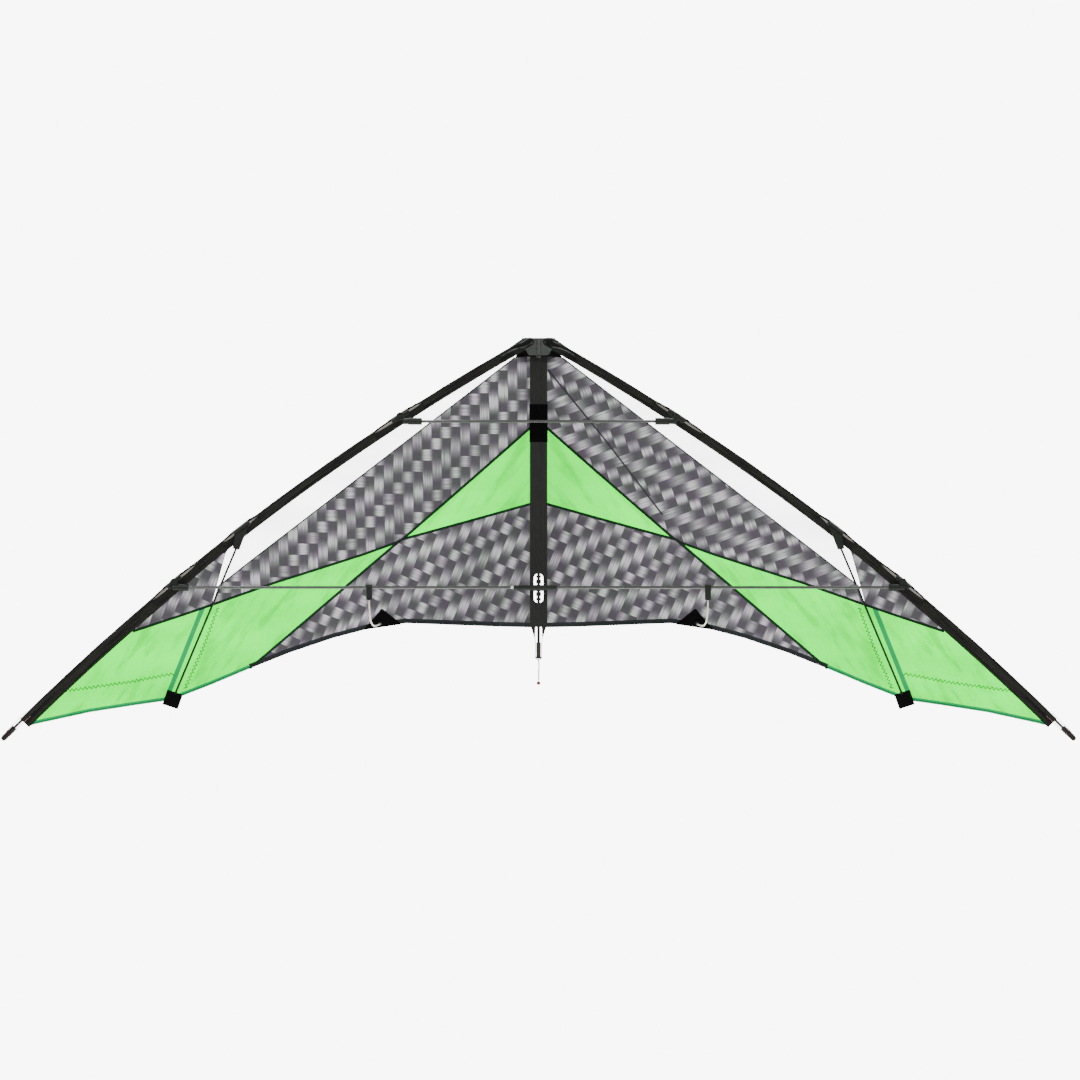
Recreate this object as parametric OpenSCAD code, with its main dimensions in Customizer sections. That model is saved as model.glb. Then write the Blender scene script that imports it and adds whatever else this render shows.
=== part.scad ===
// Dual-line sport delta kite, seen from the flyer's side.
// Millimetres, +Z to the nose, +X to the right, the flyer's side faces -Y.
// The origin is the middle of the lower spreader, where the bridle pulls.

/* [Frame] */
// Outside diameter of the spars and spreaders
rod_d = 6; // [5:0.5:6]
// Outside diameter of the two whisker rods
whisker_d = 4.6; // [2.4:0.2:5]
// Outside diameter of the two bowed standoffs
standoff_d = 3.2; // [2:0.2:3.6]

/* [Sail] */
// How far the standoffs push the trailing edge back
sail_depth = 185; // [150:5:200]
// Thickness of the sail sheet
sail_t = 0.6; // [0.4:0.1:0.8]
// Seam gap left between two neighbouring panels
seam_gap = 0.5; // [0.4:0.1:0.8]

/* [Tail] */
// Length of the loose string under the spine
tail_len = 46; // [32:1:80]
// Diameter of the loose string
tail_d = 2.6; // [1:0.1:3]

/* [Hidden] */
$fn = 40;
rod_r = rod_d / 2;
fit = 0.1;                 // running gap round a rod or pin
bore_r = 3 + fit;          // every socket takes the largest rod

// Leading edge: one circular arc, right side
le_cx = -2402.3;
le_cz = -3808.1;
le_r = 4959;
le_steps = 720;            // facets of a full turn of that arc
function le_pt(a, in = 0) = [le_cx + (le_r - in) * cos(a), 0, le_cz + (le_r - in) * sin(a)];
function le_ang(x) = acos((x - le_cx) / le_r);
function le_x(a) = le_cx + le_r * cos(a);
a_nose = le_ang(26);       // hinge pin
a_sleeve0 = le_ang(46);    // sleeve starts
a_upper = le_ang(288.5);   // upper fitting
a_whisker = le_ang(620);   // whisker fitting
a_lower = le_ang(761);     // lower fitting
a_sleeve1 = le_ang(1074);  // sleeve ends
a_rod1 = le_ang(1106);     // rod ends inside the cap
win_up = 20;               // half widths of the sleeve windows, along x
win_whisker = 20;
win_low = 16;
flap_in = 16;              // sleeve flap, inner half
flap_out = 21.5;           // sleeve flap, outer half
sleeve_r = 4.4;
cloth = 1.2;

// Layers, front to back
upper_y = -23.8;
lower_y = -11;
spine_y = 10;

// Spreaders
upper_z = 346.3;
upper_mouth = 243;         // socket mouths
upper_end = 268;           // rod ends
lower_mouth = 731;
lower_end = 750;
lower_gap = 8;             // rod end to the centre line
collar_r = 6.5;
eye_r = 8;
pin_r = 3;
pin_bore = pin_r + fit;
socket_r = 6.2;
block_r = 7.4;             // thick end of a socket
standoff_x = 353.6;

// Spine
spine_top = 497;
spine_bottom = -118;
spine_half = 18.3;
spine_sleeve_top = 476;
spine_sleeve_bottom = -82;

// Sail surface: a cone from the apex, pushed back at the standoffs
apex_z = 530;
edge_in = 18;
te_radius = [[0, 610], [0.5, 690], [0.83, 1085], [1, 1345], [1.2, 1500]];
function le_theta(r) = 61.15 - 0.00586 * r - atan2(edge_in, r);
function fan(x, z) = atan2(x, apex_z - z) / le_theta(norm([x, apex_z - z]));
function belly(t) = pow(max(0, sin(180 * min(1, max(0, t)))), 1.3);
function sail_y(x, z) =
    spine_y * (1 - min(1, fan(x, z)))
    + sail_depth * belly(fan(x, z)) * norm([x, apex_z - z]) / lookup(fan(x, z), te_radius);

function lerp(a, b, t) = a + (b - a) * t;
function along(p, u) =
    let (n = len(p) - 1, k = min(n - 1, floor(u * n)))
    lerp(p[k], p[k + 1], u * n - k);
function le_line(x0, x1, n, in) =
    [for (i = [0:n]) let (q = le_pt(le_ang(lerp(x0, x1, i / n)), in)) [q[0], q[2]]];

// Panel corners, right side, [x, z]
nose_in = [51, 474];
nose_spine = [spine_half + 0.4, 470];
grey_kink = [603.2, 55];
white_tip = [671, 1.5];
batten_top = [653, 73];
batten_mid = [684.7, -37];
batten_low = [772, -238];
green_top = [spine_half + 0.4, 333];
green_low = [spine_half + 0.4, 174];
green_tip = [287.6, 100.9];
wedge_tip = [300, 94];
grey_end = [611.5, -173];
hem_spine = [spine_half + 0.4, -80];
tip_seam = [757.8, -62.1];

// Parts of a swept tube
function unit(v) = v / norm(v);
function bez(p, t) =
    pow(1 - t, 3) * p[0] + 3 * t * pow(1 - t, 2) * p[1] + 3 * t * t * (1 - t) * p[2] + pow(t, 3) * p[3];
function ring(p, t, r, sides) =
    let (n1 = unit(cross(t, [1, 0, 0])), n2 = cross(t, n1))
    [for (k = [0:sides - 1]) p + r * (cos(360 * k / sides) * n1 + sin(360 * k / sides) * n2)];

module sweep(p, r, sides, rings) {
    c = [for (i = [0:rings]) bez(p, i / rings)];
    t = [for (i = [0:rings]) unit(c[min(rings, i + 1)] - c[max(0, i - 1)])];
    pts = [for (i = [0:rings]) each ring(c[i], t[i], r, sides)];
    caps = [
        [for (k = [0:sides - 1]) k],
        [for (k = [sides - 1:-1:0]) rings * sides + k]
    ];
    walls = [
        for (i = [0:rings - 1], k = [0:sides - 1])
        let (a = i * sides + k, b = i * sides + (k + 1) % sides)
        each [[a, a + sides, b], [b, a + sides, b + sides]]
    ];
    polyhedron(points = pts, faces = concat(caps, walls), convexity = 6);
}

// Sheet between two edges of [x, z] points, lying on the sail surface
function cell(a, b, u, v, g) =
    let (p = along(a, u), q = along(b, u), s = g / max(norm(q - p), 3 * g))
    lerp(p, q, lerp(s, 1 - s, v));

module sheet(a, b, nu, nv, lift = 0, t = sail_t, g = seam_gap) {
    ue = g / norm((a[len(a) - 1] + b[len(b) - 1] - a[0] - b[0]) / 2);
    flat = [
        for (i = [0:nu], j = [0:nv])
        cell(a, b, i == 0 ? ue : i == nu ? 1 - ue : i / nu, j / nv, g)
    ];
    front = [for (p = flat) [p[0], sail_y(p[0], p[1]) - lift - t / 2, p[1]]];
    back = [for (p = flat) [p[0], sail_y(p[0], p[1]) - lift + t / 2, p[1]]];
    n = len(flat);
    w = nv + 1;
    skins = [
        for (i = [0:nu - 1], j = [0:nv - 1])
        let (k = i * w + j)
        each [
            [k, k + 1, k + w + 1], [k, k + w + 1, k + w],
            [n + k, n + k + w + 1, n + k + 1], [n + k, n + k + w, n + k + w + 1]
        ]
    ];
    sides = concat(
        [for (i = [0:nu - 1]) let (k = i * w) each [[k, k + w, n + k + w], [k, n + k + w, n + k]]],
        [for (i = [0:nu - 1]) let (k = i * w + nv) each [[k + w, k, n + k], [k + w, n + k, n + k + w]]],
        [for (j = [0:nv - 1]) let (k = j) each [[k + 1, k, n + k], [k + 1, n + k, n + k + 1]]],
        [for (j = [0:nv - 1]) let (k = nu * w + j) each [[k, k + 1, n + k + 1], [k, n + k + 1, n + k]]]
    );
    polyhedron(points = concat(front, back), faces = concat(skins, sides), convexity = 6);
}

// Places children at an angle of the leading edge: x inward, y back, z to the tip
module at_le(a) {
    translate(le_pt(a)) rotate([0, 180 - a, 0]) children();
}

module le_arc(a0, a1) {
    translate([le_cx, 0, le_cz])
    rotate([90, 0, 0])
    rotate([0, 0, a1])
    rotate_extrude(angle = a0 - a1, $fn = le_steps)
    children();
}

module along_y(x, z, y0, y1, r) {
    translate([x, y1, z]) rotate([90, 0, 0]) cylinder(r = r, h = y1 - y0);
}

module along_x(x0, x1, y, z, r) {
    translate([x0, y, z]) rotate([0, 90, 0]) cylinder(r = r, h = x1 - x0);
}

module between(p, q, r) {
    d = q - p;
    translate(p)
    rotate([0, acos(d[2] / norm(d)), atan2(d[1], d[0])])
    cylinder(r = r, h = norm(d));
}

module flip(s) {
    scale([s, 1, 1]) children();
}

// ---- Nose and spine ----

module nose_plate(y) {
    translate([0, y + 2, 0])
    rotate([90, 0, 0])
    linear_extrude(2)
    polygon([
        [-34, 521], [34, 521], [38, 512], [20, 485], [-20, 485], [-38, 512]
    ]);
}

module nose_connector() color("#1b1d1c") {
    nose_z = le_pt(a_nose)[2];
    difference() {
        union() {
            nose_plate(-9);
            nose_plate(7);
            translate([-4, -8, 500]) cube([8, 16, 14]);
            translate([0, -7.5, 487]) cylinder(r = 4.4, h = 33);
            translate([0, spine_y, 480]) cylinder(r = 5.6, h = 20);
        }
        translate([0, spine_y, 479]) cylinder(r = bore_r, h = 18.5);
    }
    along_y(-26, nose_z, -8, 8, pin_r);
    along_y(26, nose_z, -8, 8, pin_r);
}

module nose_patch() color("#242626") {
    translate([0, 17.4, 0])
    rotate([90, 0, 0])
    linear_extrude(cloth)
    polygon([[-46, 507], [46, 507], [30, 487], [8, 470], [-8, 470], [-30, 487]]);
}

module spine_rod() color("#3a3c38") {
    translate([0, spine_y, spine_bottom]) cylinder(r = rod_r, h = spine_top - spine_bottom);
}

module spine_profile() {
    difference() {
        union() {
            circle(sleeve_r);
            square([2 * spine_half, cloth], center = true);
        }
        circle(bore_r);
    }
}

module spine_tab(s) {
    flip(s)
    translate([0, spine_y + cloth / 2, 0])
    rotate([90, 0, 0])
    linear_extrude(cloth)
    polygon([[5, -81], [spine_half, -81], [7.5, -103], [5, -103]]);
}

module spine_sleeve() color("#34363a") {
    difference() {
        translate([0, spine_y, spine_sleeve_bottom])
        linear_extrude(spine_sleeve_top - spine_sleeve_bottom)
        spine_profile();
        translate([-10, 0, 5]) cube([20, 20, 24]);
        translate([-10, 0, -33]) cube([20, 20, 25]);
    }
    spine_tab(1);
    spine_tab(-1);
}

module spine_band() color("#08060a") {
    translate([0, spine_y, 304])
    linear_extrude(79)
    difference() {
        union() {
            circle(5.4);
            translate([-spine_half, -1.6]) square([2 * spine_half, 1.6]);
        }
        circle(4.55);
        translate([-20, -0.8]) square([40, 10]);
    }
}

module spine_end_cap() color("#2a1516") {
    translate([0, spine_y, -149])
    difference() {
        union() {
            cylinder(r = 5, h = 34);
            cylinder(r = 5.8, h = 4);
        }
        translate([0, 0, 14]) cylinder(r = bore_r, h = 25);
    }
}

module spine_string() color("#d9d2cf") {
    between([6.4, spine_y, -103.6], [6.2, spine_y, -120], 0.6);
    between([-6.4, spine_y, -103.6], [-6.2, spine_y, -120], 0.6);
    translate([0, spine_y, -120]) rotate_extrude() translate([6.1, 0]) circle(0.8);
}

module tail_string() color("#e4dedb") {
    top = [0, spine_y, -149.6];
    sweep([
        top, top - [0, 0, tail_len / 3], top + [1.5, 0, -2 * tail_len / 3], top + [0.6, 0, -tail_len]
    ], tail_d / 2, 8, 12);
}

module tail_bead() color("#b3261e") {
    translate([0, spine_y, -154.4 - tail_len]) sphere(r = 4.2);
}

module centre_ring(z0, h) {
    translate([0, spine_y, z0])
    difference() {
        cylinder(r = 5.4, h = h);
        translate([0, 0, -1]) cylinder(r = bore_r, h = h + 2);
    }
}

module centre_t() color("#3a4038") {
    difference() {
        union() {
            along_x(-51.4, 38.4, lower_y, 0, 5.2);
            along_x(-17, 17, lower_y, 0, 6.2);
            translate([-3, lower_y, -18]) cube([6, 16, 34]);
            translate([-3, 4, -18]) cube([6, 4, 8]);
            translate([-3, 4, 8]) cube([6, 4, 8]);
        }
        along_x(-59, -1.2, lower_y, 0, bore_r);
        along_x(1.2, 59, lower_y, 0, bore_r);
        translate([-59, lower_y - bore_r, 0]) cube([118, 2 * bore_r, 30]);
        translate([-3.5, lower_y, -18.5]) cube([7, 3.15, 13]);
        translate([0, spine_y, -19]) cylinder(r = bore_r, h = 40);
    }
    centre_ring(-18, 8);
    centre_ring(8, 8);
}

module spine_clip(z0) {
    translate([0, spine_y, z0])
    difference() {
        cylinder(r = 5.2, h = 5);
        translate([0, 0, -1]) cylinder(r = bore_r, h = 7);
    }
}

module spine_clips() color("#232523") {
    spine_clip(20);
    spine_clip(-27);
}

// ---- Sail panels, right side ----

module sail_white() {
    sheet(
        concat(
            le_line(58, 604, 11, flap_in + 1.2),
            le_line(628, batten_top[0] - 0.6, 1, flap_out + 0.8)
        ),
        [nose_in, lerp(nose_in, grey_kink, 0.5), grey_kink, white_tip],
        12, 4
    );
}

module sail_grey_upper() {
    sheet(
        [
            nose_in, lerp(nose_in, grey_kink, 0.18), lerp(nose_in, grey_kink, 0.36),
            lerp(nose_in, grey_kink, 0.54), lerp(nose_in, grey_kink, 0.72),
            lerp(nose_in, grey_kink, 0.85), grey_kink, white_tip
        ],
        [
            nose_spine, green_top, lerp(green_top, green_tip, 0.33),
            lerp(green_top, green_tip, 0.67), green_tip, [373.3, 67.5], [555.1, 9], batten_mid
        ],
        14, 6
    );
}

module sail_green_upper() {
    sheet(
        [green_top, lerp(green_top, green_tip, 0.985)],
        [green_low, lerp(green_low, green_tip, 0.985)],
        8, 6
    );
}

module sail_green_lower() {
    sheet(
        [
            wedge_tip + [0, 1.6], [373.3, 67.5], [480, 33], [555.1, 9], [620, -14], batten_mid
        ],
        [
            wedge_tip - [0, 1.6], [373.3, 29.9], [492, -71.2], grey_end, [690, -206], batten_low
        ],
        10, 6
    );
}

module sail_grey_centre() {
    sheet(
        [
            green_low, [100, 151.9], [200, 124.7], [291, 99.8], [373.3, 29.9],
            [450, -35.5], [530, -103.7], grey_end + [-3, 2.5]
        ],
        [
            hem_spine, [90, -79.5], [180, -78.5], [282, -77], [345, -85],
            [439, -110], [530, -140.5], grey_end - [3, 1.5]
        ],
        14, 7
    );
}

module tip_grey() {
    sheet(
        le_line(670, 863, 6, flap_out + 0.6),
        [
            [658.5, 58], lerp(batten_top, batten_mid, 0.55), batten_mid + [1, 1],
            tip_seam, [838, -90.5]
        ],
        8, 4
    );
}

module tip_green() {
    sheet(
        le_line(868, 1060, 10, flap_out + 0.6),
        [
            batten_mid, lerp(batten_mid, batten_low, 0.5), batten_low,
            [846, -248], [940, -262], [1045, -284]
        ],
        10, 7
    );
}

// ---- Wing frame, right side ----

module nose_lug() {
    difference() {
        union() {
            along_y(26, le_pt(a_nose)[2], -6.4, 6.4, 6);
            at_le(a_nose) translate([0, 0, 2]) cylinder(r = 4.2, h = 16);
            at_le(a_nose) translate([0, 0, 17]) cylinder(r = 2, h = 14);
        }
        along_y(26, le_pt(a_nose)[2], -8, 8, pin_bore);
    }
}

module le_rod() {
    le_arc(le_ang(44.5), a_rod1)
    translate([le_r, 0])
    difference() {
        circle(rod_r, $fn = 24);
        circle(2.2, $fn = 24);
    }
}

module le_profile(flap) {
    translate([le_r, 0])
    difference() {
        union() {
            circle(sleeve_r, $fn = 32);
            translate([-flap, -cloth / 2]) square([flap, cloth]);
        }
        circle(bore_r, $fn = 32);
    }
}

// Strip of sleeve left behind a fitting where the tube part is cut away
module le_strip(a, half) {
    le_arc(le_ang(le_x(a) - half), le_ang(le_x(a) + half))
    translate([le_r - flap_in + 0.6, -0.5])
    square([flap_in - 8.6, 1]);
}

module le_sleeve() {
    le_arc(a_sleeve0, le_ang(288.5 - win_up)) le_profile(flap_in);
    le_strip(a_upper, win_up + 1);
    le_arc(le_ang(288.5 + win_up), le_ang(620 - win_whisker)) le_profile(flap_in);
    le_strip(a_whisker, win_whisker + 1);
    le_arc(le_ang(620 + win_whisker), le_ang(761 - win_low)) le_profile(flap_out);
    le_strip(a_lower, win_low + 1);
    le_arc(le_ang(761 + win_low), a_sleeve1) le_profile(flap_out);
}

module collar(a, half) {
    at_le(a)
    difference() {
        translate([0, 0, -half]) cylinder(r = collar_r, h = 2 * half);
        translate([0, 0, -half - 1]) cylinder(r = bore_r, h = 2 * half + 2);
    }
}

// Pin in front of a collar, with a shoulder behind the swinging eye and a head before it
module hub_pin(a, shoulder, tip) {
    at = le_pt(a);
    difference() {
        union() {
            along_y(at[0], at[2], shoulder, -5, 6);
            along_y(at[0], at[2], tip, -5, pin_r);
            along_y(at[0], at[2], tip - 1, tip, 4.6);
        }
        at_le(a) translate([0, 0, -20]) cylinder(r = bore_r, h = 40);
    }
}

module upper_hub() {
    collar(a_upper, 21);
    hub_pin(a_upper, upper_y + 4.8, upper_y - 4.8);
}

module upper_fork() {
    at = le_pt(a_upper);
    collar(a_upper, 21);
    difference() {
        union() {
            along_y(at[0], at[2], upper_y - 5, -5, 6);
            along_x(upper_mouth, at[0] - 2, upper_y, upper_z, socket_r);
            along_x(upper_mouth, upper_mouth + 30, upper_y, upper_z, block_r + 0.4);
            translate([at[0] - 8, upper_y - 5, upper_z]) cube([10, 10, 10]);
        }
        translate([upper_mouth - 1, upper_y - bore_r, upper_z - 12]) cube([33, 2 * bore_r, 30]);
        at_le(a_upper) translate([0, 0, -20]) cylinder(r = bore_r, h = 40);
    }
}

module lower_hub() {
    collar(a_lower, 18);
    hub_pin(a_lower, lower_y + 4.2, lower_y - 4.8);
}

module whisker_clip() {
    foot = [630.8, -3.8, 83.5];
    collar(a_whisker, 20);
    difference() {
        translate([0, -0.9, 0])
        rotate([90, 0, 0])
        linear_extrude(6.4)
        polygon([[606, 129], [634, 108], [638.8, 81.5], [625.2, 78.5]]);
        between(foot, whisker_end, whisker_d / 2 + fit);
        at_le(a_whisker) translate([0, 0, -20]) cylinder(r = bore_r, h = 40);
    }
}

whisker_start = [631.2, -3.62, 82.58];
whisker_end = [764, 56, -224];

module whisker_rod() {
    between(whisker_start, whisker_end, whisker_d / 2);
    along_y(763.2, -222.2, 53.6, 65, 3.2);
}

module whisker_patch() {
    sheet(
        [[749.9, -227.1], [780.9, -215.9]], [[761.1, -258.1], [792.1, -246.9]], 6, 5, 2.4, 1.6, 0.2
    );
}

module tip_cap() {
    at_le(le_ang(1095))
    difference() {
        union() {
            cylinder(r = 5.4, h = 34);
            translate([0, 0, 14]) cylinder(r = 6, h = 18);
            translate([0, 0, 34]) cylinder(r1 = 5.4, r2 = 3.6, h = 3);
        }
        translate([0, 0, -1]) cylinder(r = bore_r, h = 18);
    }
}

module tip_string() {
    at_le(le_ang(1095)) {
        translate([0, 0, 26]) rotate_extrude() translate([7.1, 0]) circle(0.8);
        between([7.1, 0, 26], [6.4, 0, -26], 0.6);
        between([-7.1, 0, 26], [-5.6, 0, -26], 0.6);
    }
}

// ---- Spreaders ----

module lower_spreader() {
    difference() {
        along_x(lower_gap, lower_end - 4, lower_y, 0, rod_r);
        along_x(lower_gap - 1, lower_end, lower_y, 0, 2.2);
    }
}

module socket_arm() {
    at = le_pt(a_lower);
    difference() {
        union() {
            along_y(at[0], at[2], lower_y - 4.5, lower_y + 4, eye_r);
            along_x(lower_mouth, at[0] + 3, lower_y, 0, socket_r);
            along_x(lower_mouth, lower_mouth + 19, lower_y, 0, block_r);
        }
        translate([lower_mouth - 1, lower_y + socket_r, -10]) cube([60, 6, 16]);
        along_x(lower_mouth - 1, lower_end - 3.7, lower_y, 0, bore_r);
        along_y(at[0], at[2], lower_y - 7, lower_y + 7, pin_bore);
    }
}

module standoff_clip() {
    difference() {
        union() {
            along_x(standoff_x - 6.5, standoff_x + 6.5, lower_y, 0, 6);
            translate([standoff_x, lower_y, -26]) cylinder(r = 6.4, h = 24);
        }
        along_x(standoff_x - 8, standoff_x + 8, lower_y, 0, bore_r);
    }
}

socket_x = 338;
socket_z = -79;
socket_y = sail_y(socket_x, socket_z) - 5.4;

module standoff_rod() {
    tip = [socket_x, socket_y - 12.5, socket_z - 1];
    sweep([
        [standoff_x, lower_y, -26.8], [standoff_x, lower_y + 14, -84],
        [socket_x + 13, socket_y - 80, -86], tip
    ], standoff_d / 2, 10, 26);
}

module te_socket() {
    along_y(socket_x, socket_z, socket_y - 12, socket_y, 4);
}

module te_patch() {
    sheet(
        [[335.2, -48], [372, -92.5]], [[332, -48], [292.5, -81]], 10, 6, 3, 1, 0.2
    );
}

module upper_spreader() color("#787a70") {
    difference() {
        along_x(-upper_end, upper_end, upper_y, upper_z, rod_r);
        along_x(-upper_end - 1, upper_end + 1, upper_y, upper_z, 2.2);
    }
}

module upper_socket() color("#32382f") {
    at = le_pt(a_upper);
    flip(-1)
    difference() {
        union() {
            along_y(at[0], at[2], upper_y - 4.5, upper_y + 4.5, eye_r);
            along_x(upper_mouth, at[0] - 5, upper_y, upper_z, socket_r);
            along_x(upper_mouth, upper_mouth + 28, upper_y, upper_z, block_r);
        }
        along_x(upper_mouth - 1, upper_end + 0.3, upper_y, upper_z, bore_r);
        along_y(at[0], at[2], upper_y - 7, upper_y + 7, pin_bore);
    }
}

// ---- Named pieces ----

module left_nose_lug() color("#2b2d2b") flip(-1) nose_lug();
module right_nose_lug() color("#2b2d2b") nose_lug();
module left_le_rod() color("#2e302d") flip(-1) le_rod();
module right_le_rod() color("#2e302d") le_rod();
module left_le_sleeve() color("#23231e") flip(-1) le_sleeve();
module right_le_sleeve() color("#23231e") le_sleeve();
module left_upper_hub() color("#32382f") flip(-1) upper_hub();
module right_upper_fork() color("#32382f") upper_fork();
module left_lower_hub() color("#32382f") flip(-1) lower_hub();
module right_lower_hub() color("#32382f") lower_hub();
module left_socket_arm() color("#32382f") flip(-1) socket_arm();
module right_socket_arm() color("#32382f") socket_arm();
module left_whisker_clip() color("#2b302a") flip(-1) whisker_clip();
module right_whisker_clip() color("#2b302a") whisker_clip();
module left_whisker_rod() color("#1c1d1c") flip(-1) whisker_rod();
module right_whisker_rod() color("#1c1d1c") whisker_rod();
module left_whisker_patch() color("#101010") flip(-1) whisker_patch();
module right_whisker_patch() color("#101010") whisker_patch();
module left_tip_cap() color("#3b1d18") flip(-1) tip_cap();
module right_tip_cap() color("#3b1d18") tip_cap();
module left_tip_string() color("#d9d2cf") flip(-1) tip_string();
module right_tip_string() color("#d9d2cf") tip_string();
module left_lower_spreader() color("#787a70") flip(-1) lower_spreader();
module right_lower_spreader() color("#787a70") lower_spreader();
module left_standoff_clip() color("#141514") flip(-1) standoff_clip();
module right_standoff_clip() color("#141514") standoff_clip();
module left_standoff_rod() color("#d7dccd") flip(-1) standoff_rod();
module right_standoff_rod() color("#d7dccd") standoff_rod();
module left_te_socket() color("#141514") flip(-1) te_socket();
module right_te_socket() color("#141514") te_socket();
module left_te_patch() color("#101010") flip(-1) te_patch();
module right_te_patch() color("#101010") te_patch();
module left_sail_white() color("#f3f7f2") flip(-1) sail_white();
module right_sail_white() color("#f3f7f2") sail_white();
module left_sail_grey_upper() color("#767476") flip(-1) sail_grey_upper();
module right_sail_grey_upper() color("#767476") sail_grey_upper();
module left_sail_green_upper() color("#8cf58a") flip(-1) sail_green_upper();
module right_sail_green_upper() color("#8cf58a") sail_green_upper();
module left_sail_green_lower() color("#8cf58a") flip(-1) sail_green_lower();
module right_sail_green_lower() color("#8cf58a") sail_green_lower();
module left_sail_grey_centre() color("#767476") flip(-1) sail_grey_centre();
module right_sail_grey_centre() color("#767476") sail_grey_centre();
module left_tip_grey() color("#767476") flip(-1) tip_grey();
module right_tip_grey() color("#767476") tip_grey();
module left_tip_green() color("#8cf58a") flip(-1) tip_green();
module right_tip_green() color("#8cf58a") tip_green();

nose_connector();
nose_patch();
spine_rod();
spine_sleeve();
spine_band();
spine_end_cap();
spine_string();
tail_string();
tail_bead();
centre_t();
spine_clips();
upper_spreader();
upper_socket();
left_nose_lug();
right_nose_lug();
left_le_rod();
right_le_rod();
left_le_sleeve();
right_le_sleeve();
left_upper_hub();
right_upper_fork();
left_lower_hub();
right_lower_hub();
left_socket_arm();
right_socket_arm();
left_whisker_clip();
right_whisker_clip();
left_whisker_rod();
right_whisker_rod();
left_whisker_patch();
right_whisker_patch();
left_tip_cap();
right_tip_cap();
left_tip_string();
right_tip_string();
left_lower_spreader();
right_lower_spreader();
left_standoff_clip();
right_standoff_clip();
left_standoff_rod();
right_standoff_rod();
left_te_socket();
right_te_socket();
left_te_patch();
right_te_patch();
left_sail_white();
right_sail_white();
left_sail_grey_upper();
right_sail_grey_upper();
left_sail_green_upper();
right_sail_green_upper();
left_sail_green_lower();
right_sail_green_lower();
left_sail_grey_centre();
right_sail_grey_centre();
left_tip_grey();
right_tip_grey();
left_tip_green();
right_tip_green();
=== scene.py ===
"""Looks of the two-line delta kite: cloth, seams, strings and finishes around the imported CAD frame."""

import math

import bpy
import numpy as np
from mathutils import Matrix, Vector, geometry


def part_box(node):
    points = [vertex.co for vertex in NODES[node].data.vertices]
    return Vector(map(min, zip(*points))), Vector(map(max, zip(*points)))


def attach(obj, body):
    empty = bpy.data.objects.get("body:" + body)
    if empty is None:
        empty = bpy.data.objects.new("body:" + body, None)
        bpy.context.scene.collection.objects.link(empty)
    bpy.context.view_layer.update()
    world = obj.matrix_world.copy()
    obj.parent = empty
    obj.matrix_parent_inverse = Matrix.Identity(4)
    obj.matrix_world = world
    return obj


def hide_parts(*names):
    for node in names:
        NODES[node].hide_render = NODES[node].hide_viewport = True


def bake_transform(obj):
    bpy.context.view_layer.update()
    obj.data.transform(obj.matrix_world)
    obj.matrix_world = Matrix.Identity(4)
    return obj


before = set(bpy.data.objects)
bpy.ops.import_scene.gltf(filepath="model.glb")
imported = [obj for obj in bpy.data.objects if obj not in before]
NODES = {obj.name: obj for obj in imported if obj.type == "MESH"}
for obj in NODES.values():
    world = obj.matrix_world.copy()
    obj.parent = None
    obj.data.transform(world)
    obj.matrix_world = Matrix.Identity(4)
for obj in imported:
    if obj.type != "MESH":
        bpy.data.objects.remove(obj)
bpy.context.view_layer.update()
MM = 0.001
SIDES = {"left": -1, "right": 1}

# ---------------------------------------------------------------- camera and stage

FIELD = 2.257  # metres across the picture, at the kite's frame
DISTANCE = 9.0  # metres from the camera to the frame
MIDDLE_X, MIDDLE_Z = 0.003, 0.099  # the place in the middle of the picture
FLOOR_Z = -1.45

camera_data = bpy.data.cameras.new("camera")
camera_data.lens = camera_data.sensor_width * DISTANCE / FIELD
camera = bpy.data.objects.new("camera", camera_data)
camera.location = (MIDDLE_X, -DISTANCE, MIDDLE_Z)
camera.rotation_euler = (math.radians(90), 0, 0)
bpy.context.scene.collection.objects.link(camera)
bpy.context.scene.camera = camera


# ---------------------------------------------------------------- shader helpers


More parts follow.
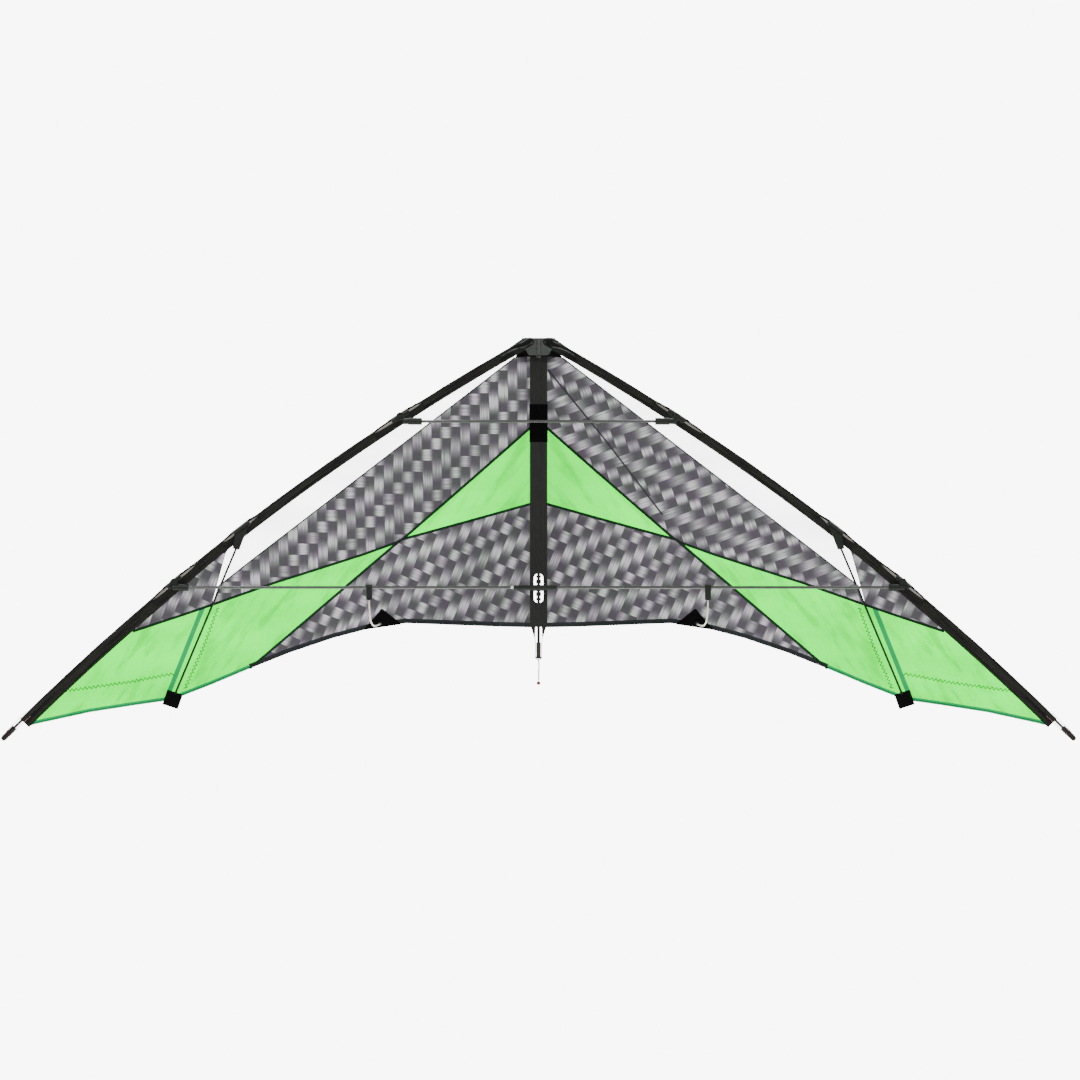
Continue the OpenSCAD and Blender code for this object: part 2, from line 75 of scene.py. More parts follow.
class Graph:
    """A material's node tree, written as calls."""

    def __init__(self, tree):
        self.tree = tree
        tree.nodes.clear()

    def node(self, kind, **settings):
        made = self.tree.nodes.new(kind)
        for key, value in settings.items():
            setattr(made, key, value)
        return made

    def put(self, socket, value):
        if isinstance(value, bpy.types.NodeSocket):
            self.tree.links.new(value, socket)
        elif value is not None:
            socket.default_value = value

    def math(self, operation, a, b=None):
        made = self.node("ShaderNodeMath", operation=operation)
        for socket, value in zip(made.inputs, (a, b)):
            self.put(socket, value)
        return made.outputs[0]

    def add(self, a, b):
        return self.math("ADD", a, b)

    def sub(self, a, b):
        return self.math("SUBTRACT", a, b)

    def mul(self, a, b):
        return self.math("MULTIPLY", a, b)

    def abs(self, a):
        return self.math("ABSOLUTE", a)

    def mix(self, factor, a, b, blend="MIX"):
        made = self.node("ShaderNodeMix", data_type="RGBA", blend_type=blend)
        self.put(made.inputs["Factor"], factor)
        self.put(made.inputs[6], a)
        self.put(made.inputs[7], b)
        return made.outputs[2]

    def times(self, colour, grey):
        """A colour socket multiplied by a plain number."""
        return self.mix(1.0, colour, rgb([grey] * 3), "MULTIPLY")

    def noise(self, vector, scale, detail=2.0, rough=0.5):
        made = self.node("ShaderNodeTexNoise")
        self.put(made.inputs["Vector"], vector)
        made.inputs["Scale"].default_value = scale
        made.inputs["Detail"].default_value = detail
        made.inputs["Roughness"].default_value = rough
        return made.outputs["Fac"]

    def smooth(self, value, low, high, out_low=0.0, out_high=1.0):
        made = self.node("ShaderNodeMapRange", interpolation_type="SMOOTHSTEP")
        for socket, v in zip(made.inputs, (value, low, high, out_low, out_high)):
            self.put(socket, v)
        return made.outputs[0]

    def vector(self, x, y, z=0.0):
        made = self.node("ShaderNodeCombineXYZ")
        for socket, value in zip(made.inputs, (x, y, z)):
            self.put(socket, value)
        return made.outputs[0]

    def bump(self, height, strength, distance):
        made = self.node("ShaderNodeBump")
        self.put(made.inputs["Height"], height)
        made.inputs["Strength"].default_value = strength
        made.inputs["Distance"].default_value = distance
        return made.outputs[0]

    def place(self):
        """The point in the object, in metres."""
        return self.node("ShaderNodeTexCoord").outputs["Object"]

    def cut(self):
        """The two lengths in metres measured on the cut cloth."""
        made = self.node("ShaderNodeSeparateXYZ")
        self.put(made.inputs[0], self.node("ShaderNodeUVMap").outputs[0])
        return made.outputs[0], made.outputs[1]


def rgb(values):
    return (*values, 1.0)


def new_material(name):
    made = bpy.data.materials.new(name)
    made.use_nodes = True
    return made, Graph(made.node_tree)


def shade(colour, factor, added=0.0):
    """A colour made lighter or darker."""
    return rgb([c * factor + added for c in colour])


def finish_solid(g, colour, rough, normal=None, gloss=0.5, coat=0.0, sheen=0.0):
    shader = g.node("ShaderNodeBsdfPrincipled")
    g.put(shader.inputs["Base Color"], colour)
    g.put(shader.inputs["Roughness"], rough)
    g.put(shader.inputs["Normal"], normal)
    shader.inputs["Specular IOR Level"].default_value = gloss
    shader.inputs["Coat Weight"].default_value = coat
    shader.inputs["Coat Roughness"].default_value = 0.25
    shader.inputs["Sheen Weight"].default_value = sheen
    out = g.node("ShaderNodeOutputMaterial")
    g.put(out.inputs[0], shader.outputs[0])


def moulded(name, colour, rough, gloss, grain=0.35):
    """Moulded nylon: fine grain, slightly uneven tone, rubbed lighter here and there."""
    made, g = new_material(name)
    p = g.place()
    tone = g.noise(p, 34, 3)
    wear = g.smooth(g.noise(p, 210, 4, 0.65), 0.58, 0.8)
    base = g.mix(tone, shade(colour, 0.72), shade(colour, 1.35))
    base = g.mix(g.mul(wear, 0.25), base, shade(colour, 2.6, 0.01))
    roughness = g.smooth(g.noise(p, 90, 2), 0.3, 0.7, rough - 0.08, rough + 0.12)
    normal = g.bump(g.noise(p, 1400, 3, 0.6), grain, 0.00012)
    finish_solid(g, base, roughness, normal, gloss)
    return made


WRAP = 90.0  # scale of the faint bands where a rod is wrapped


def tube_finish(name, colour, rough, gloss, coat):
    """A wrapped or pultruded rod: faint slanting bands under a clear skin."""
    made, g = new_material(name)
    p = g.place()
    streak = g.noise(p, 60, 4, 0.6)
    wave = g.node("ShaderNodeTexWave", bands_direction="DIAGONAL")
    g.put(wave.inputs["Vector"], p)
    wave.inputs["Scale"].default_value = WRAP
    wave.inputs["Distortion"].default_value = 1.5
    base = g.mix(streak, shade(colour, 0.75), shade(colour, 1.3))
    base = g.mix(g.mul(wave.outputs["Fac"], 0.2), base, shade(colour, 1.8))
    normal = g.bump(wave.outputs["Fac"], 0.15, 0.0001)
    roughness = g.smooth(g.noise(p, 25, 2), 0.3, 0.7, rough, rough + 0.15)
    finish_solid(g, base, roughness, normal, gloss, coat)
    return made


def edge_rod(name, colour, tip_colour, tip_from):
    """The leading edge rod: a pale tone painted on for the light on the glossy rod, and the rod's own dark
    colour past `tip_from` metres outwards.
    """
    made, g = new_material(name)
    p = g.place()
    split = g.node("ShaderNodeSeparateXYZ")
    g.put(split.inputs[0], p)
    out = g.abs(split.outputs[0])
    tip = g.smooth(out, tip_from, tip_from + 0.008)
    streak = g.noise(p, 60, 4, 0.6)
    # Painted highlight: `colour` is the pale light on the rod, which is dark carbon all along
    base = g.mix(streak, shade(colour, 0.7), shade(colour, 1.35))
    base = g.mix(tip, base, g.mix(streak, shade(tip_colour, 0.6), shade(tip_colour, 1.6)))
    roughness = g.smooth(g.noise(p, 25, 2), 0.3, 0.7, 0.2, 0.35)
    finish_solid(g, base, roughness, gloss=0.35, coat=0.3)
    return made


def glossy_vinyl(name, colour, glint, lines):
    """Stretched black vinyl. Pale broken lines stand for light on its folds: (around, slope) in metres."""
    made, g = new_material(name)
    u, v = g.cut()
    p = g.place()
    mask = None
    for around, slope in lines:
        fold = g.add(g.mul(u, slope), around)
        off = g.abs(g.sub(v, fold))
        line = g.smooth(off, 0.0006, 0.0019, 1.0, 0.0)
        mask = line if mask is None else g.math("MAXIMUM", mask, line)
    mask = g.mul(mask, g.smooth(g.noise(p, 70, 3), 0.35, 0.6))
    mask = g.mul(mask, g.smooth(g.math("PINGPONG", u, 0.04), 0.0, 0.008))
    base = g.mix(g.noise(p, 60, 3), shade(colour, 0.6), shade(colour, 1.5))
    base = g.mix(mask, base, rgb(glint))
    finish_solid(g, base, 0.4, g.bump(g.noise(p, 120, 3), 0.3, 0.0006), 0.08)
    return made


THREAD_TURN = math.radians(45)  # the threads of tape and dacron run at this angle to the piece


def webbing(name, colour, count=1100.0, sheen=0.12, gloss=0.12, crease_light_and_shade=0.0):
    """Woven polyester tape or dacron: crossed threads, faded in patches, with painted light and shade of fine
    creases along it.
    """
    made, g = new_material(name)
    u, v = g.cut()
    c, s = math.cos(THREAD_TURN), math.sin(THREAD_TURN)
    a = g.add(g.mul(u, c), g.mul(v, s))
    b = g.sub(g.mul(v, c), g.mul(u, s))
    warp = g.math("SINE", g.mul(a, count * math.tau))
    weft = g.math("SINE", g.mul(b, count * math.tau))
    weave = g.mul(warp, weft)
    p = g.place()
    fade = g.noise(p, 26, 4, 0.6)
    base = g.mix(fade, shade(colour, 0.7), shade(colour, 1.4))
    base = g.mix(g.smooth(weave, -1.0, 1.0, 0.0, 0.35), base, shade(colour, 1.8))
    if crease_light_and_shade:
        # Painted light and shade: lighter and darker lines along the tape, for fine lengthwise creases
        stretched = g.vector(g.mul(u, 7.0), g.mul(v, 260.0))
        lines = g.noise(stretched, 1.0, 3, 0.6)
        darker, lighter = g.times(base, 1 - crease_light_and_shade), g.times(base, 1 + crease_light_and_shade)
        base = g.mix(g.smooth(lines, 0.36, 0.62), darker, lighter)
    height = g.add(g.mul(weave, 0.4), g.noise(p, 130, 3))
    finish_solid(g, base, 0.85, g.bump(height, 0.4, 0.0005), gloss, 0, sheen)
    return made


RIPSTOP = 0.0052  # metres between the thick threads of the sailcloth


def sailcloth(name, colour_at, through, rough=0.55, gloss=0.06, painted_crease_shade=0.3):
    """Thin ripstop nylon: light comes through it, a fine grid of thicker threads shows, and shade is painted
    in fold-like bands.
    """
    made, g = new_material(name)
    u, v = g.cut()
    p = g.place()
    ripstop = None
    for length in (u, v):
        beat = g.math("PINGPONG", length, RIPSTOP / 2)
        line = g.smooth(beat, RIPSTOP * 0.05, RIPSTOP * 0.1, 1.0, 0.0)
        ripstop = line if ripstop is None else g.math("MAXIMUM", ripstop, line)
    base = colour_at(g, u, v, p)
    # Painted shade: a darker copy of the colour in fold-like bands, as much as `painted_crease_shade` says
    out = g.abs(u)
    across = g.add(g.mul(out, 34.0), g.mul(v, 26.0))
    along = g.sub(g.mul(out, 5.0), g.mul(v, 6.0))
    folds = g.noise(g.vector(across, along), 1.0, 4, 0.6)
    base = g.mix(g.smooth(folds, 0.46, 0.68, 0.0, painted_crease_shade), base, g.times(base, 0.62))
    base = g.mix(g.mul(ripstop, 0.16), base, g.times(base, 0.55))
    height = g.add(g.mul(ripstop, 0.3), g.noise(p, 45, 3))
    normal = g.bump(height, 0.25, 0.0012)
    front = g.node("ShaderNodeBsdfPrincipled")
    g.put(front.inputs["Base Color"], base)
    g.put(front.inputs["Normal"], normal)
    front.inputs["Roughness"].default_value = rough
    front.inputs["Specular IOR Level"].default_value = gloss
    back = g.node("ShaderNodeBsdfTranslucent")
    g.put(back.inputs["Color"], base)
    g.put(back.inputs["Normal"], normal)
    both = g.node("ShaderNodeMixShader")
    both.inputs[0].default_value = through
    g.put(both.inputs[1], front.outputs[0])
    g.put(both.inputs[2], back.outputs[0])
    out = g.node("ShaderNodeOutputMaterial")
    g.put(out.inputs[0], both.outputs[0])
    return made


STRAND = 0.0200  # width of a printed strand of the weave
REPEAT = 0.107  # length after which a strand's pattern repeats
STEP = 0.0234  # how far each strand's pattern is ahead of the last one's
UNDER = 0.215  # share of the repeat where the strand passes under
CROSSING = 1.6  # width of the strand seen there, in strands
FLOAT_GLOW = 4.0  # power of the brightness along a long float; more makes its bright middle shorter
FINE, COARSE = 420.0, 14.0  # noise cells in a metre, across a strand's threads and along them


def print_colour(turn, light, mid, dark, shift):
    """The printed basket weave: strands running at `turn` degrees, each passing under once a repeat."""

    def colour_at(g, u, v, p):
        c, s = math.cos(math.radians(turn)), math.sin(math.radians(turn))
        a = g.add(g.mul(u, c), g.mul(v, s))
        b = g.sub(g.mul(u, s), g.mul(v, c))
        wander = g.mul(g.sub(g.noise(p, 9, 2), 0.5), 0.006)
        a = g.add(g.sub(a, shift[0]), wander)
        b = g.sub(g.sub(b, shift[1]), wander)
        lane = g.math("DIVIDE", b, STRAND)
        i = g.math("FLOOR", lane)
        in_lane = g.sub(lane, i)

        def along_lane(number):
            run = g.math("DIVIDE", g.sub(a, g.mul(number, STEP)), REPEAT)
            return g.math("FRACT", run), g.math("FLOOR", run)

        def edge(across):
            """Darker at both edges of a strand."""
            return g.smooth(g.math("PINGPONG", across, 0.5), 0.0, 0.06, 0.62, 1.0)

        def streaks(across_a, across_b, slice_at):
            where = (g.mul(a, across_a), g.mul(b, across_b), slice_at)
            return g.noise(g.vector(*where), 1.0, 3, 0.6)

        share, repeat_number = along_lane(i)
        on_float = g.math("DIVIDE", g.sub(share, UNDER), 1 - UNDER)
        rise = g.math("MAXIMUM", g.math("SINE", g.mul(on_float, math.pi)), 0.0)
        streak = g.smooth(streaks(COARSE, FINE, 3.1), 0.3, 0.72, 0.66, 1.15)
        level = g.mul(g.math("POWER", rise, FLOAT_GLOW), streak)
        over = g.math("GREATER_THAN", share, UNDER)
        level = g.mul(level, g.mul(edge(in_lane), over))
        streak = g.smooth(streaks(FINE, COARSE, 7.7), 0.3, 0.72, 0.7, 1.15)
        for k in (-1, 0, 1):
            share_k = along_lane(g.add(i, float(k)))[0] if k else share
            off = g.math("DIVIDE", g.sub(in_lane, 0.5 + k), CROSSING)
            off = g.math("MINIMUM", g.abs(off), 0.5)
            glow = g.math("COSINE", g.mul(off, math.pi))
            glow = g.mul(g.math("POWER", glow, 1.6), streak)
            glow = g.mul(glow, edge(g.math("DIVIDE", share_k, UNDER)))
            crossed = g.math("LESS_THAN", share_k, UNDER)
            level = g.math("MAXIMUM", level, g.mul(glow, crossed))
        own = g.noise(g.vector(i, repeat_number), 1.7, 0)
        level = g.mul(level, g.smooth(own, 0.3, 0.7, 0.78, 1.12))
        level = g.mul(level, g.smooth(g.noise(p, 22, 3), 0.3, 0.7, 0.88, 1.08))
        low = g.mix(g.smooth(level, 0.0, 0.5), rgb(dark), rgb(mid))
        grey = g.mix(g.smooth(level, 0.4, 1.12), low, rgb(light))
        patches = g.smooth(g.noise(p, 38, 2), 0.35, 0.65)
        tint = g.mix(patches, rgb((1.05, 0.95, 1.06)), rgb((0.96, 1.04, 0.95)))
        return g.mix(1.0, grey, tint, "MULTIPLY")

    return colour_at


def plain_colour(colour):
    """One colour, slightly uneven."""

    def colour_at(g, u, v, _):
        uneven = g.noise(g.vector(g.mul(u, 3.0), g.mul(v, 9.0)), 1.3, 4)
        return g.mix(g.smooth(uneven, 0.3, 0.75), shade(colour, 1.08), shade(colour, 0.86))

    return colour_at


# ---------------------------------------------------------------- world, floor and lamps

world = bpy.data.worlds.new("studio")
world.use_nodes = True
bpy.context.scene.world = world
wg = Graph(world.node_tree)
facing = wg.node("ShaderNodeSeparateXYZ")
wg.put(facing.inputs[0], wg.node("ShaderNodeTexCoord").outputs["Generated"])
BEHIND, BEFORE = 10.5, 1.3  # strength of the light from behind the kite, and from in front
backlight = wg.node("ShaderNodeBackground")
wg.put(backlight.inputs["Strength"], wg.smooth(facing.outputs[1], -0.1, 0.45, BEFORE, BEHIND))
wg.put(wg.node("ShaderNodeOutputWorld").inputs[0], backlight.outputs[0])

bpy.ops.mesh.primitive_plane_add(size=5, location=(0, 0.2, FLOOR_Z))
floor = bpy.context.object
floor.name = "floor"
floor_material, fg = new_material("pale_floor")
grey = fg.noise(fg.place(), 6, 3)
finish_solid(fg, fg.mix(grey, rgb([0.78] * 3), rgb([0.84] * 3)), 0.8)
floor.data.materials.append(floor_material)


def soft_lamp(name, where, size, watts):
    """A rectangular lamp aimed at the middle of the kite."""
    data = bpy.data.lights.new(name, "AREA")
    data.shape, data.size, data.size_y, data.energy = "RECTANGLE", size[0], size[1], watts
    lamp = bpy.data.objects.new(name, data)
    lamp.location = where
    lamp.rotation_euler = (-Vector(where)).to_track_quat("-Z", "Y").to_euler()
    bpy.context.scene.collection.objects.link(lamp)


soft_lamp("key", (-1.6, -3.2, 3.0), (1.6, 0.9), 130)
soft_lamp("fill", (2.6, -3.4, 1.4), (1.2, 1.6), 55)

# ---------------------------------------------------------------- finishes

LIGHT, MID, DARK = (0.225, 0.224, 0.228), (0.07, 0.068, 0.073), (0.029, 0.0272, 0.031)
# The turn of each panel's print in degrees, and its shift in metres
PRINT = {"left_upper": (90.0, (0.299, -0.124)), "right_upper": (20.0, (0, 0)), "centre": (67.0, (0, 0))}
CLOTH = {
    key: sailcloth("print_" + key, print_colour(turn, LIGHT, MID, DARK, shift), 0.35)
    for key, (turn, shift) in PRINT.items()
}
CLOTH["green"] = sailcloth("green_sailcloth", plain_colour((0.002, 0.57, 0.0098)), 0.6, gloss=0.0, painted_crease_shade=0.8)
# Doubled cloth at the hems and beside the batten: real, but its darker green is painted shade, for the lesser
# light through two layers
CLOTH["green_double_painted_shade"] = sailcloth("green_double_painted_shade", plain_colour((0.0007, 0.13, 0.033)), 0.5, gloss=0.0)
CLOTH["white"] = sailcloth("clear_white_sailcloth", plain_colour((0.9, 0.92, 0.9)), 0.92, 0.4, painted_crease_shade=0.1)
CLOTH["seam"] = webbing("seam_tape", (0.003, 0.011, 0.006), sheen=0.02)
CLOTH["hem"] = webbing("hem_tape", (0.007, 0.009, 0.0105), sheen=0.02)
# A painted shadow: the dark strip along the fold on the right half
CLOTH["painted_crease_shade"] = webbing("painted_fold_shadow", (0.014, 0.013, 0.016), sheen=0.02)
# Its lighter and darker lines along it are painted crease light and shade
DACRON = webbing("black_dacron", (0.0055, 0.0056, 0.0045), sheen=0.03, crease_light_and_shade=0.7)
VINYL = glossy_vinyl(
    "black_vinyl", (0.0024, 0.0028, 0.0022), (0.055, 0.065, 0.058), [(0.026, -0.06), (0.013, 0.02)]
)
SPINE_CLOTH = webbing("spine_dacron", (0.009, 0.0098, 0.0086), sheen=0.05)
BLACK_TAPE = webbing("black_tape", (0.0012, 0.001, 0.0011), 800, sheen=0.0, gloss=0.03)
THREAD = moulded("black_thread", (0.008, 0.009, 0.008), 0.8, 0.1)
GREEN_THREAD = moulded("green_thread", (0.002, 0.016, 0.004), 0.8, 0.03)
PALE_THREAD = moulded("grey_thread", (0.03, 0.032, 0.028), 0.8, 0.1)
FITTING = moulded("moulded_fitting", (0.0062, 0.0082, 0.0058), 0.36, 0.16)
CAP_BROWN = moulded("cap_brown", (0.0075, 0.0048, 0.0032), 0.4, 0.15)
# The nose moulding's own dark green, made lighter than the other fittings' as a painted highlight on its
# glossy tube
NOSE_PAINTED_HIGHLIGHT = moulded("glossy_nose_painted_highlight", (0.017, 0.021, 0.0175), 0.3, 0.45, 0.15)
CAP = moulded("end_cap_plastic", (0.009, 0.007, 0.005), 0.35, 0.35)
CARBON = tube_finish("black_carbon_rod", (0.002, 0.002, 0.002), 0.3, 0.15, 0.05)
# The pale colour is a painted highlight on the dark rod; the second colour is its own dark tone, kept at the
# tips
EDGE_ROD = edge_rod("carbon_rod_painted_highlight", (0.12, 0.117, 0.097), (0.007, 0.004, 0.003), 1.06)
SPREADER = tube_finish("grey_spreader_tube", (0.012, 0.0125, 0.0105), 0.26, 0.5, 0.4)
CREAM = tube_finish("cream_fibreglass", (0.4, 0.42, 0.32), 0.4, 0.3, 0.2)
LINE_WHITE = moulded("white_line", (0.24, 0.19, 0.175), 0.75, 0.1)
LINE_RED = moulded("red_line", (0.1, 0.003, 0.003), 0.7, 0.08)
LINE_PINK = moulded("pink_line", (0.13, 0.022, 0.02), 0.75, 0.1)
BEAD = moulded("red_bead", (0.1, 0.003, 0.004), 0.35, 0.35)
FERRULE = moulded("white_ferrule", (0.5, 0.5, 0.48), 0.4, 0.3)

# ---------------------------------------------------------------- the kite's lines, in mm on the right side

LE_X, LE_Z, LE_R = -2402.3, -3808.1, 4959.0  # centre and radius of the leading edge's arc
SPINE_Y, APEX_Z = 10.0, 530.0  # the spine rod, and the point that the sail's cone starts from
EDGE_IN = 18.0  # how far inside the rod's line the sail comes level with the rod
DEPTH = 185.0  # how far the standoffs push the sail back
LE_TURN, LE_EASE = 61.15, 0.00586  # degrees from the spine to the leading edge, and their loss per mm
TE_FAN = [0, 0.5, 0.83, 1, 1.2]  # shares of that turn ...
TE_RADIUS = [610, 690, 1085, 1345, 1500]  # ... and the trailing edge's distance from the apex there
SLEEVE_R = 4.55  # radius of the leading edge sleeve round its rod
RIPPLE = 0.75  # depth of the small creases


def edge_angle(x):
    return math.acos((x - LE_X) / LE_R)


def edge_point(x, inward):
    a = edge_angle(x)
    return LE_X + (LE_R - inward) * math.cos(a), LE_Z + (LE_R - inward) * math.sin(a)


def edge_line(x0, x1, inward):
    """The leading edge between two places, as points about 12 mm apart."""
    n = max(2, int(abs(x1 - x0) / 12.0))
    return [edge_point(x0 + (x1 - x0) * i / n, inward) for i in range(n + 1)]


def surface_y(x, z):
    """How far back the sail is, for arrays of points on the right side."""
    x, z = np.maximum(np.asarray(x, float), 0.0), np.asarray(z, float)
    r = np.hypot(x, APEX_Z - z)
    whole = LE_TURN - LE_EASE * r - np.degrees(np.arctan2(EDGE_IN, r))
    fan = np.degrees(np.arctan2(x, APEX_Z - z)) / whole
    belly = np.maximum(0, np.sin(np.pi * np.clip(fan, 0, 1))) ** 1.3
    flat = SPINE_Y * (1 - np.minimum(1, fan))
    return flat + DEPTH * belly * r / np.interp(fan, TE_FAN, TE_RADIUS)


def ripple(x, z):
    """Small creases in the cloth, dying away at the frame."""
    r = np.hypot(x, APEX_Z - z)
    fan = np.degrees(np.arctan2(x, APEX_Z - z)) / 58.0
    calm = np.clip(np.sin(np.pi * np.clip(fan, 0, 1)), 0, 1) * np.clip((r - 60) / 240, 0, 1)
    wave = np.sin(fan * 31 + r / 210) + 0.6 * np.sin(fan * 57 - r / 90 + 1.1)
    return RIPPLE * calm * (wave + 0.5 * np.sin(r / 47 + fan * 9))


SEAM_MEET = (684.7, -37)  # where the wedge, the tip seam and the batten line meet
BATTEN_TOP, BATTEN_FOOT = (653, 73), (772, -238)


# ---------------------------------------------------------------- mesh helpers


def link(name, mesh):
    made = bpy.data.objects.new(name, mesh)
    bpy.context.scene.collection.objects.link(made)
    return made


def build(name, points, faces, materials, uvs, slots=None):
    """A mesh object from points in metres, with one uv per point."""
    mesh = bpy.data.meshes.new(name)
    mesh.from_pydata([tuple(p) for p in points], [], [tuple(f) for f in faces])
    layer = mesh.uv_layers.new(name="UVMap")
    index = np.zeros(len(mesh.loops), np.int32)
    mesh.loops.foreach_get("vertex_index", index)
    layer.data.foreach_set("uv", np.asarray(uvs, np.float32)[index].ravel())
    for m in materials:
        mesh.materials.append(m)
    if slots is not None:
        mesh.polygons.foreach_set("material_index", np.asarray(slots, np.int32))
    mesh.polygons.foreach_set("use_smooth", [True] * len(mesh.polygons))
    mesh.update()
    return link(name, mesh)


def closed_sheet(name, flat, front_y, back_y, faces, material, sign=1):
    """A sheet with a front and a back over the same flat points in mm, joined round its rim."""
    n = len(flat)
    points = [np.stack([flat[:, 0] * sign, y, flat[:, 1]], 1) for y in (front_y, back_y)]
    points = np.concatenate(points) * MM
    edges = dict.fromkeys((a, b) for f in faces for a, b in zip(f, f[1:] + f[:1]))
    back = [tuple(i + n for i in f)[::-1] for f in faces]
    rim = [(a, b, b + n, a + n)[::-1] for a, b in edges if (b, a) not in edges]
    return build(name, points, [*faces, *back, *rim], [material], points[:, [0, 2]])


def spaced(line, step):
    """The points of a line, no further apart than step."""
    out = [line[0]]
    for p, q in zip(line, line[1:]):
        n = max(1, math.ceil(math.dist(p, q) / step))
        out += [tuple(p[k] + (q[k] - p[k]) * i / n for k in range(len(p))) for i in range(1, n + 1)]
    return out


def strip(line, width):
    """The outline of a band along a line."""
    line = [np.array(p, float) for p in spaced(line, 14)]
    left, right = [], []
    for k, p in enumerate(line):
        d = line[min(k + 1, len(line) - 1)] - line[max(k - 1, 0)]
        d /= np.hypot(*d) + 1e-9
        n = np.array([-d[1], d[0]]) * width / 2
        left.append(tuple(p + n))
        right.append(tuple(p - n))
    return left + right[::-1]


def turned_right(poly):
    """An outline in anticlockwise order."""
    area = sum(p[0] * q[1] - q[0] * p[1] for p, q in zip(poly, poly[1:] + poly[:1]))
    return poly if area > 0 else poly[::-1]


ROW_RISE = 0.866  # height of a row of even triangles, in their sides


def cut_flat(panels, step):
    """Triangles of overlapping flat panels: points, faces and each face's topmost (last) panel."""
    points, faces = [], []
    for poly in panels:
        poly = turned_right([tuple(p) for p in poly])
        ring = spaced(poly + poly[:1], step)[:-1]
        faces.append(list(range(len(points), len(points) + len(ring))))
        points += ring
    lo, hi = np.min(points, 0), np.max(points, 0)
    rows = np.arange(lo[1] + step / 2, hi[1], step * ROW_RISE)
    for k, z in enumerate(rows):
        points += [(x, z) for x in np.arange(lo[0] + (step / 2 if k % 2 else 0), hi[0], step)]
    made = geometry.delaunay_2d_cdt([Vector(p) for p in points], [], faces, 1, 0.02, True)
    kept = [(f, max(ids)) for f, ids in zip(made[2], made[5]) if ids]
    used = sorted({i for f, _ in kept for i in f})
    place = {old: new for new, old in enumerate(used)}
    flat = np.array([tuple(made[0][i]) for i in used])
    return flat, [tuple(place[i] for i in f) for f, _ in kept], [top for _, top in kept]


def sweep(rings, name, material):
    """A closed tube through rings of points in metres."""
    n = len(rings[0])
    points = [p for ring in rings for p in ring]
    faces = [
        (k * n + i, k * n + (i + 1) % n, (k + 1) * n + (i + 1) % n, (k + 1) * n + i)
        for k in range(len(rings) - 1)
        for i in range(n)
    ]
    faces += [tuple(range(n))[::-1], tuple(range((len(rings) - 1) * n, len(rings) * n))]
    run, uvs = 0.0, []
    for k, ring in enumerate(rings):
        run += math.dist(rings[k - 1][0], ring[0]) if k else 0.0
        around = 0.0
        for i, p in enumerate(ring):
            around += math.dist(ring[i - 1], p) if i else 0.0
            uvs.append((run, around))
    return build(name, points, faces, [material], uvs)


def threads(name, paths, radius, material):
    """Fine square-section threads along paths of points in metres, all in one mesh."""
    points, faces = [], []
    for path in paths:
        base = len(points)
        line = [Vector(p) for p in path]
        for k, p in enumerate(line):
            d = (line[min(k + 1, len(line) - 1)] - line[max(k - 1, 0)]).normalized()
            side = d.cross(Vector((0, 1, 0)))
            side = side.normalized() if side.length > 1e-6 else Vector((1, 0, 0))
            up = d.cross(side).normalized()
            points += [p + radius * (side * c + up * s) for c, s in ((1, 0), (0, 1), (-1, 0), (0, -1))]
        for k in range(len(line) - 1):
            for i in range(4):
                a, b = base + 4 * k + i, base + 4 * k + (i + 1) % 4
                faces.append((a, b, b + 4, a + 4))
        faces.append((base + 3, base + 2, base + 1, base))
        last = base + 4 * (len(line) - 1)
        faces.append((last, last + 1, last + 2, last + 3))
    return build(name, points, faces, [material], [(p[0], p[2]) for p in points])


def zigzag(line, pitch, width):
    """A zigzag along a flat line."""
    out, line = [], spaced(line, pitch / 2)
    for k, p in enumerate(line):
        q, r = line[max(k - 1, 0)], line[min(k + 1, len(line) - 1)]
        d = np.array([r[0] - q[0], r[1] - q[1]], float)
        d /= np.hypot(*d) + 1e-9
        s = width / 2 * (1 if k % 2 else -1)
        out.append((p[0] - d[1] * s, p[1] + d[0] * s))
    return out


def on_sail(line, sign):
    """Points of a flat line laid on the sail, in metres, on the side that sign says."""
    x, z = np.array([p[0] for p in line]), np.array([p[1] for p in line])
    y = surface_y(x, z) + ripple(x, z)
    return [(sign * a * MM, b * MM, c * MM) for a, b, c in zip(x, y, z)]


def fan_fold(obj):
    """Bakes obj's placement into its mesh and gives obj back."""
    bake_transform(obj)
    return obj


# ---------------------------------------------------------------- the sail

NOSE_IN, GREY_KINK, WHITE_TIP = (50, 480), (603.2, 55), (671, 1.5)
UPPER_SEAM = [(12, 337), (18.7, 333), (287.6, 100.9)]
LOWER_SEAM = [(12, 176), (18.7, 174), (100, 151.9), (200, 124.7), (291, 99.8)]
WEDGE = [(300, 94), (373.3, 67.5), (480, 33), (555.1, 9), (620, -14), SEAM_MEET]
KEEL_SEAM = [LOWER_SEAM[-1], (373.3, 29.9), (492, -71.2), (611.5, -173)]
BATTEN_LINE = [BATTEN_TOP, SEAM_MEET, (728.4, -137.5), BATTEN_FOOT]
TIP_SEAM = [SEAM_MEET, (757.8, -62.1), (848, -92)]
GREY_TE = [(12, -84), (90, -83.5), (180, -81.5), (282, -78.5), (345, -85.5), (439, -110), (530, -140.5)]
GREY_TE.append(KEEL_SEAM[-1])
GREEN_TE = [KEEL_SEAM[-1], (690, -206), BATTEN_FOOT]
TIP_TE = [BATTEN_FOOT, (846, -248), (940, -262), (1045, -284.5), (1061, -288.5)]
GREY_EDGE = [NOSE_IN, GREY_KINK, WHITE_TIP]
TUCK = 14.0  # how far inside the rod's line the panels end, hidden in the sleeve's flap

